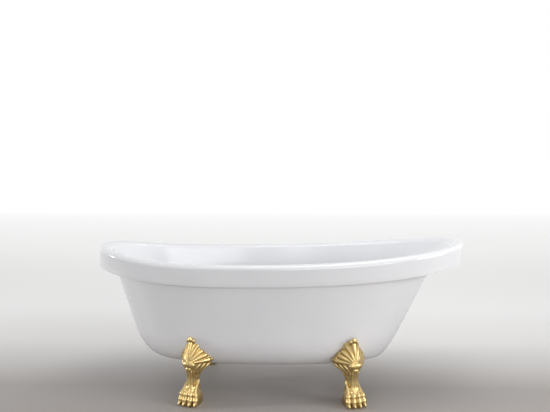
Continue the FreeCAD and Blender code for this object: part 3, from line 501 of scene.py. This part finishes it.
def body_rings():
    """From the lip inside the apron down the wall and round the bend to the bottom."""
    lip = oval(-LIP_LOW_REACH, LIP_HIGH_REACH, LIP_HALF_WIDTH, RIM_SQUARENESS,
               lambda x: rim_top(x) - APRON_DEPTH + LIP_TUCK)
    top = body_ring(BODY_TOP, 0)
    below = body_ring(BODY_TOP - LIP_LEAD, 0)
    rings = [lip]
    for step in range(1, LIP_STEPS + 1):
        t = step / LIP_STEPS
        ring = []
        for start, end, under in zip(lip, top, below):
            run = (end - start).length
            leave = end - start
            arrive = (under - end).normalized() * run
            ring.append(start * (2 * t ** 3 - 3 * t ** 2 + 1) + leave * (t ** 3 - 2 * t ** 2 + t)
                        + end * (3 * t ** 2 - 2 * t ** 3) + arrive * (t ** 3 - t ** 2))
        rings.append(ring)
    rings += [body_ring(BODY_TOP + (BODY_ROUND_START - BODY_TOP) * step / WALL_STEPS, 0)
              for step in range(1, WALL_STEPS + 1)]
    for turn in BEND_TURNS:
        angle = math.radians(turn)
        height = BODY_ROUND_START - (BODY_ROUND_START - BODY_BOTTOM) * math.sin(angle)
        rings.append(body_ring(height, 1 - math.cos(angle)))
    return rings + shrunk(rings[-1], BODY_FLOOR_SHARES)


def drill(radius, depth, place, lean=0):
    """A round cutter about its own Z axis, leaned about Y."""
    deselect()
    bpy.ops.mesh.primitive_cylinder_add(vertices=64, radius=radius, depth=depth, location=place,
                                        rotation=(0, lean, 0))
    return settle(added("drill"))


def overflow_place():
    """Where the overflow's axis meets the low end wall's inner face."""
    edge = RIM_HALF_LENGTH - RIM_WIDTH
    x = -edge
    for _ in range(20):
        rim_edge = rim_top(x if x > -edge else -edge) - RIM_EDGE_DROP
        depth = (rim_edge - OVERFLOW_HEIGHT) / (rim_edge - BASIN_FLOOR)
        x = -(edge - LOW_LEAN * depth)
    return Vector((x, 0, OVERFLOW_HEIGHT))


def make_basin():
    basin = loft("basin", rim_and_basin_rings(), closed_end=True)
    apply_modifier(basin, "SOLIDIFY", thickness=BASIN_THICKNESS, offset=-1, use_even_offset=True)
    outward(basin)
    waste = drill(WASTE_HOLE, DRILL_DEPTH, (WASTE_X, 0, BASIN_FLOOR))
    overflow = drill(OVERFLOW_HOLE, DRILL_DEPTH, overflow_place(), math.pi / 2 - OVERFLOW_LEAN)
    cut_away(basin, waste, overflow)
    smooth(basin, SMOOTH_ANGLE)
    put(basin, MATERIALS["white_acrylic"], stands_for=["basin_shell"])


def make_body():
    body = loft("outer_body", body_rings(), closed_end=True)
    apply_modifier(body, "SOLIDIFY", thickness=BODY_THICKNESS, offset=1, use_even_offset=True)
    outward(body)
    deselect()
    bpy.ops.mesh.primitive_cube_add(size=1, location=(WASTE_X, 0, BODY_BOTTOM))
    hatch = added("hatch")
    hatch.scale = (ACCESS_LENGTH, 2 * ACCESS_HALF_WIDTH, HATCH_DEPTH)
    settle(hatch)
    apply_modifier(hatch, "BEVEL", width=HATCH_CORNER, segments=4, limit_method="ANGLE")
    cut_away(body, hatch)
    smooth(body, SMOOTH_ANGLE)
    put(body, MATERIALS["white_acrylic"], stands_for=["outer_skirt"])


# ---------------------------------------------------------------- claw feet
# A foot's own axes: X outwards from the bath, Y sideways, Z up, with the ankle over the origin.

def front_reach(height, sideways):
    """Reach of the casting's front face at a height and a distance from its middle."""
    for below, above in zip(LEG_SECTIONS, LEG_SECTIONS[1:]):
        if below[0] <= height <= above[0]:
            share = (height - below[0]) / (above[0] - below[0])
            front, edge, half = (a + (b - a) * share for a, b in zip(below[1:], above[1:]))
            return front - (front - edge) * min(1, abs(sideways) / half) ** BOW_POWER
    return 0


def on_front(side, height, proud=0.0):
    return Vector((front_reach(height, side) + proud, side, height))


def leg_outline(height, front, edge, half_width):
    """Crescent section of the casting: a bowed front and the hollow behind it."""
    outer, inner = [], []
    for step in range(OUTLINE_STEPS + 1):
        share = 2 * step / OUTLINE_STEPS - 1
        bow = abs(share) ** BOW_POWER
        outer.append(Vector((front - (front - edge) * bow, half_width * share, height)))
        inner.append(Vector((front - FOOT_WALL - (front - FOOT_WALL - edge) * bow,
                             (half_width - FOOT_WALL * OUTLINE_TAPER) * share, height)))
    return outer + inner[::-1]


def paw_outline(height, middle, half_length, half_width):
    return oval(middle - half_length, middle + half_length, half_width, PAW_SQUARENESS,
                lambda x: height, PAW_POINTS)


def tube(spots, radii):
    """Round rib along a smooth line through the spots."""
    deselect()
    bpy.ops.curve.primitive_bezier_curve_add()
    curve = added("rib")
    knots = curve.data.splines[0].bezier_points
    knots.add(len(spots) - 2)
    for knot, spot, radius in zip(knots, spots, radii):
        knot.co = spot
        knot.radius = radius
        knot.handle_left_type = "AUTO"
        knot.handle_right_type = "AUTO"
    curve.data.resolution_u = 6
    curve.data.bevel_depth = 1
    curve.data.bevel_resolution = 3
    curve.data.use_fill_caps = True
    choose(curve)
    bpy.ops.object.convert(target="MESH")
    return settle(bpy.context.object)


def ball(spot, *size):
    """A ball, or an egg of three half sizes."""
    deselect()
    bpy.ops.mesh.primitive_uv_sphere_add(segments=20, ring_count=12, radius=1, location=spot)
    egg = added("ball")
    egg.scale = size if len(size) == 3 else size * 3
    return settle(egg)


def box(name, low, high, edge=0.0):
    """A block between two corners, with rounded edges if asked."""
    low, high = Vector(low), Vector(high)
    deselect()
    bpy.ops.mesh.primitive_cube_add(size=1, location=(low + high) / 2)
    block = added(name)
    block.scale = high - low
    settle(block)
    if edge:
        apply_modifier(block, "BEVEL", width=edge, segments=3, limit_method="ANGLE")
    return block


def flute(angle, length):
    """One round flute of the fan, from the boss out to the fan's edge."""
    lean = math.radians(angle)
    spots, radii = [], []
    for share, radius in FLUTE_LINE:
        side = length * share * math.sin(lean)
        height = min(FAN_CENTRE + length * share * math.cos(lean), LEG_SECTIONS[-1][0] - 0.001)
        spots.append(on_front(side, height, -radius * FLUTE_SINK))
        radii.append(radius)
    return tube(spots, radii)


def fan():
    """Flutes both ways from upright, with a bead in each notch between their ends."""
    pieces = [flute(*FLUTES[0])]
    for (angle, length), (last_angle, last_length) in zip(FLUTES[1:], FLUTES):
        notch = math.radians((angle + last_angle) / 2)
        reach = (length + last_length) / 2 * BEAD_REACH
        for way in (1, -1):
            pieces.append(flute(way * angle, length))
            pieces.append(ball(on_front(way * reach * math.sin(notch),
                                        FAN_CENTRE + reach * math.cos(notch), BEAD_PROUD),
                                   BEAD_RADIUS))
    return pieces


def wing_folds():
    """Folds that gather the fan's wings into the leg."""
    pieces = []
    for way in (1, -1):
        for fold, radius in zip(FOLDS, FOLD_RADII):
            spots = [on_front(way * side, height, -sink)
                     for (side, height), sink in zip(fold, FOLD_SINK)]
            pieces.append(tube(spots, [radius * share for share in FOLD_TAPER]))
    return pieces


def toe(place):
    """A toe that starts as a cord on the leg, with its claw; the outer toes are set back."""
    side = place * TOE_SPREAD
    back = abs(side) * TOE_SET_BACK
    spots = []
    for reach, share, height, radius in TOE_LINE:
        if reach is None:
            spots.append(on_front(side * share, height, -CORD_SINK))
        else:
            draw = 1 + CORD_SET_BACK * max(0, height - CORD_FOOT)
            spots.append(Vector((reach - back * draw, side * share, height)))
    claw = [Vector((reach - back, side * CLAW_SPREAD, height)) for reach, height, radius in CLAW_LINE]
    return [tube(spots, [row[-1] for row in TOE_LINE]), tube(claw, [row[-1] for row in CLAW_LINE])]


def foot_casting():
    """The whole foot as one skin, before its holes are cut, standing at its own origin."""
    leg = loft("leg", eased([leg_outline(*row) for row in LEG_SECTIONS], LEG_EASING), True, True)
    paw = loft("paw", eased([paw_outline(*row) for row in PAW_SECTIONS], LEG_EASING), True, True)
    pieces = [leg, paw] + fan() + wing_folds()
    pieces += [ball(spot, *size) for spot, size in BALLS]
    for place in TOE_PLACES:
        pieces += toe(place)
    casting = join("claw_foot", pieces)
    outward(casting)
    apply_modifier(casting, "REMESH", mode="VOXEL", voxel_size=FOOT_VOXEL)
    apply_modifier(casting, "SMOOTH", factor=0.5, iterations=4)
    cut_away(casting,
             box("below_floor", *BELOW_FLOOR),
             box("hollow", (HOLLOW_BACK, -HOLLOW_HALF_WIDTH, BOSS_TOP),
                 (HOLLOW_FRONT, HOLLOW_HALF_WIDTH, HOLLOW_TOP)),
             drill(PAW_POCKET_RADIUS, 2 * BOSS_START, (0, 0, 0)),
             drill(THREAD_HOLE, 2 * HOLLOW_TOP, (0, 0, 0)))
    return casting


def foot_arm():
    """Flat arm that reaches in under the bath to its two bolts."""
    top = BODY_BOTTOM - FOOT_CLEARANCE
    arm = box("arm", (-ARM_REACH, -ARM_WIDTH / 2, BODY_BOTTOM - ARM_THICKNESS),
              (ARM_ROOT, ARM_WIDTH / 2, top), ARM_EDGE)
    cut_away(arm, *(drill(BOLT_HOLE, 4 * ARM_THICKNESS, (-reach, 0, top)) for reach in BOLT_REACHES))
    return arm


def body_block():
    """Solid block of the body grown by the feet's clearance, to grind them to it."""
    bottom = BODY_BOTTOM - FOOT_CLEARANCE
    rings = [body_ring(BODY_TOP + (BODY_ROUND_START - BODY_TOP) * step / BLOCK_STEPS, 0, FOOT_CLEARANCE)
             for step in range(BLOCK_STEPS + 1)]
    for turn in BEND_TURNS:
        angle = math.radians(turn)
        rings.append(body_ring(BODY_ROUND_START - (BODY_ROUND_START - bottom) * math.sin(angle),
                               1 - math.cos(angle), FOOT_CLEARANCE))
    block = loft("body_block", rings, True, True)
    outward(block)
    return block


def make_claw_feet():
    """The front feet ground to the body, and their mirror images at the rear."""
    casting = foot_casting()
    for end, splay in (("low", FOOT_SPLAY), ("high", -FOOT_SPLAY)):
        corner = f"front_{end}"
        ankle = sum(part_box(f"leveller_screw_{corner}"), Vector()) / 2
        turn = Matrix.Rotation(-math.pi / 2 - splay, 4, "Z")
        place = Matrix.Translation((ankle.x, ankle.y, 0)) @ turn
        choose(casting)
        bpy.ops.object.duplicate()
        foot = added(f"gold_foot_{corner}")
        arm = foot_arm()
        for piece in (foot, arm):
            piece.matrix_world = place
            settle(piece)
        cut_away(foot, body_block())
        apply_modifier(foot, "BOOLEAN", operation="UNION", object=arm, solver="EXACT")
        bpy.data.objects.remove(arm)
        choose(foot)
        bpy.ops.object.duplicate()
        rear = added(f"gold_foot_rear_{end}")
        rear.scale.y = -1
        settle(rear)
        outward(rear)
        for piece in (foot, rear):
            smooth(piece, FOOT_SMOOTH_ANGLE)
            put(piece, MATERIALS["gold_casting"],
                stands_for=[piece.name.replace("gold", "claw")])
    bpy.data.objects.remove(casting)


# ---------------------------------------------------------------- fittings

def make_plug_cap():
    """Domed cap of the plug, turned from its profile."""
    low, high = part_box("plug_cap")
    middle = (low + high) / 2
    radius = (high.x - low.x) / 2
    height = high.z - low.z
    rings = []
    for share, lift in CAP_PROFILE:
        rings.append([Vector((middle.x + radius * share * math.cos(turn),
                              middle.y + radius * share * math.sin(turn),
                              low.z + height * lift)) for turn in CAP_TURNS])
    cap = loft("plug_cap_domed", rings, True, True)
    outward(cap)
    smooth(cap, CAP_SMOOTH_ANGLE)
    put(cap, MATERIALS["gold_fitting"], "plug", ["plug_cap"])


def make_fittings():
    """Each part that is still plain: a copy of its solid with merged faces and rounded edges."""
    slots = {part["node"]: part["material_slot"] for part in frame["record"]["subparts"]}
    for node in sorted(frame["nodes"]):
        solid = frame["nodes"][node]
        if solid.hide_render:
            continue
        choose(solid)
        bpy.ops.object.duplicate()
        piece = added(f"{node}_finished")
        body = piece["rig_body"]
        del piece["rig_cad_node"]
        bpy.ops.object.parent_clear(type="CLEAR_KEEP_TRANSFORM")
        bpy.ops.object.mode_set(mode="EDIT")
        bpy.ops.mesh.select_all(action="SELECT")
        bpy.ops.mesh.remove_doubles(threshold=MERGE_DISTANCE)
        bpy.ops.mesh.dissolve_limited(angle_limit=math.radians(FLAT_ANGLE))
        bpy.ops.object.mode_set(mode="OBJECT")
        slot = slots[node]
        apply_modifier(piece, "BEVEL", width=EDGES.get(slot, FINE_EDGE), segments=2,
                       limit_method="ANGLE", angle_limit=math.radians(EDGE_ANGLE))
        smooth(piece)
        put(piece, MATERIALS[slot], body, [node])


# ---------------------------------------------------------------- materials

def shader_nodes(name):
    """A new material with its node tree, shader and Object coordinates."""
    material = bpy.data.materials.new(name)
    material.use_nodes = True
    tree = material.node_tree
    shader = tree.nodes["Principled BSDF"]
    place = tree.nodes.new("ShaderNodeTexCoord").outputs["Object"]
    return material, tree, shader, place


def noise(tree, place, scale, detail=3, roughness=0.5):
    node = tree.nodes.new("ShaderNodeTexNoise")
    node.inputs["Scale"].default_value = scale
    node.inputs["Detail"].default_value = detail
    node.inputs["Roughness"].default_value = roughness
    tree.links.new(place, node.inputs["Vector"])
    return node.outputs["Fac"]


def ramp(tree, value, *stops):
    """Colours by the value: each stop is (position, (r, g, b))."""
    node = tree.nodes.new("ShaderNodeValToRGB")
    tree.links.new(value, node.inputs["Fac"])
    elements = node.color_ramp.elements
    while len(elements) < len(stops):
        elements.new(0.5)
    for element, (position, colour) in zip(elements, stops):
        element.position = position
        element.color = (*colour, 1)
    return node.outputs["Color"]


def spread(tree, value, low, high, start=0.3, end=0.7):
    """A number between low and high as the value goes from start to end."""
    node = tree.nodes.new("ShaderNodeMapRange")
    node.inputs["From Min"].default_value = start
    node.inputs["From Max"].default_value = end
    node.inputs["To Min"].default_value = low
    node.inputs["To Max"].default_value = high
    tree.links.new(value, node.inputs["Value"])
    return node.outputs["Result"]


def bump(tree, shader, height, strength, distance):
    node = tree.nodes.new("ShaderNodeBump")
    node.inputs["Strength"].default_value = strength
    node.inputs["Distance"].default_value = distance
    tree.links.new(height, node.inputs["Height"])
    tree.links.new(node.outputs["Normal"], shader.inputs["Normal"])


def white_acrylic():
    """Moulded gloss acrylic: faint mottling, slightly uneven gloss and orange peel."""
    material, tree, shader, place = shader_nodes("white_acrylic")
    cloud = noise(tree, place, 5)
    tree.links.new(ramp(tree, cloud, *ACRYLIC_COLOURS), shader.inputs["Base Color"])
    tree.links.new(spread(tree, noise(tree, place, 38), *ACRYLIC_GLOSS), shader.inputs["Roughness"])
    shader.inputs["Coat Weight"].default_value = ACRYLIC_COAT
    shader.inputs["Coat Roughness"].default_value = ACRYLIC_COAT_ROUGHNESS
    bump(tree, shader, noise(tree, place, 150, 2), 0.03, 0.0004)
    return material


def gold_casting():
    """Polished gold plate with painted shade: the hollows are browner and darker, and duller there too.
    """
    material, tree, shader, place = shader_nodes("gold_casting")
    geometry = tree.nodes.new("ShaderNodeNewGeometry")
    worn = noise(tree, place, 22)
    # painted shade: low pointiness turns the base colour dark brown in the hollows, mixed with random
    # wear mottling
    hollow = spread(tree, geometry.outputs["Pointiness"], 0, 1, GOLD_HOLLOW, GOLD_RIDGE)
    wear_and_painted_shade = tree.nodes.new("ShaderNodeMath")
    wear_and_painted_shade.operation = "MULTIPLY_ADD"
    wear_and_painted_shade.inputs[1].default_value = GOLD_WEAR
    tree.links.new(worn, wear_and_painted_shade.inputs[0])
    tree.links.new(hollow, wear_and_painted_shade.inputs[2])
    tree.links.new(ramp(tree, wear_and_painted_shade.outputs[0], *GOLD_PAINTED_SHADE_COLOURS), shader.inputs["Base Color"])
    shader.inputs["Metallic"].default_value = 1
    tree.links.new(spread(tree, wear_and_painted_shade.outputs[0], *GOLD_GLOSS, 0, 1), shader.inputs["Roughness"])
    bump(tree, shader, noise(tree, place, 260, 3), 0.15, 0.0004)
    return material


def mottled(name, dark, pale, scale, gloss, grain, metallic=0):
    """A surface that drifts between two colours and two roughnesses, with a fine grain."""
    material, tree, shader, place = shader_nodes(name)
    cloud = noise(tree, place, scale)
    tree.links.new(ramp(tree, cloud, (0.35, dark), (0.65, pale)), shader.inputs["Base Color"])
    tree.links.new(spread(tree, noise(tree, place, scale * 3), *gloss), shader.inputs["Roughness"])
    shader.inputs["Metallic"].default_value = metallic
    grain_scale, strength = grain
    bump(tree, shader, noise(tree, place, grain_scale), strength, 0.0005)
    return material


def make_materials():
    materials = {"white_acrylic": white_acrylic(), "gold_casting": gold_casting()}
    for row in MOTTLED:
        materials[row[0]] = mottled(*row)
    return materials


# ---------------------------------------------------------------- stage

def make_camera():
    deselect()
    bpy.ops.object.camera_add(location=CAMERA_PLACE,
                              rotation=(math.pi / 2 - CAMERA_PITCH, 0, -CAMERA_YAW))
    camera = bpy.context.object
    camera.data.lens = FOCAL_PIXELS / IMAGE_WIDTH * camera.data.sensor_width
    bpy.context.scene.camera = camera


def soft_light(name, place, target, size, power):
    deselect()
    bpy.ops.object.light_add(type="AREA", location=place)
    lamp = added(name)
    lamp.data.shape = "RECTANGLE"
    lamp.data.size, lamp.data.size_y = size
    lamp.data.energy = power
    lamp.rotation_euler = (Vector(target) - Vector(place)).to_track_quat("-Z", "Y").to_euler()


def make_lights():
    for lamp in LAMPS:
        soft_light(*lamp)


def make_surroundings():
    """Pale floor that fades to white, and a plain grey sky that the camera sees as white."""
    world = bpy.data.worlds.new("studio")
    bpy.context.scene.world = world
    world.use_nodes = True
    tree = world.node_tree
    light = tree.nodes["Background"]
    light.inputs["Color"].default_value = (*SKY_LIGHT, 1)
    light.inputs["Strength"].default_value = 1
    seen = tree.nodes.new("ShaderNodeBackground")
    seen.inputs["Color"].default_value = (1, 1, 1, 1)
    path = tree.nodes.new("ShaderNodeLightPath")
    mix = tree.nodes.new("ShaderNodeMixShader")
    straight = tree.nodes.new("ShaderNodeMath")
    tree.links.new(path.outputs["Is Camera Ray"], straight.inputs[0])
    tree.links.new(path.outputs["Is Glossy Ray"], straight.inputs[1])
    tree.links.new(straight.outputs[0], mix.inputs["Fac"])
    tree.links.new(light.outputs[0], mix.inputs[1])
    tree.links.new(seen.outputs[0], mix.inputs[2])
    tree.links.new(mix.outputs[0], tree.nodes["World Output"].inputs["Surface"])

    deselect()
    bpy.ops.mesh.primitive_plane_add(size=FLOOR_SIZE, location=(0, 0, 0))
    floor = settle(added("studio_floor"))
    material, tree, shader, place = shader_nodes("studio_floor")
    split = tree.nodes.new("ShaderNodeSeparateXYZ")
    tree.links.new(place, split.inputs[0])
    near = spread(tree, split.outputs["Y"], 0, 1, *FLOOR_NEAR)
    tree.links.new(ramp(tree, near, *FLOOR_COLOURS), shader.inputs["Base Color"])
    far = spread(tree, split.outputs["Y"], 0, 1, *FLOOR_FAR)
    tree.links.new(ramp(tree, far, *FLOOR_GLOW), shader.inputs["Emission Color"])
    shader.inputs["Emission Strength"].default_value = 1
    shader.inputs["Roughness"].default_value = FLOOR_ROUGHNESS
    floor.data.materials.append(material)


# ---------------------------------------------------------------- build

make_camera()
MATERIALS = make_materials()
make_basin()
make_body()
make_claw_feet()
make_plug_cap()
make_fittings()
make_lights()
make_surroundings()

bpy.context.scene.view_settings.view_transform = "Standard"
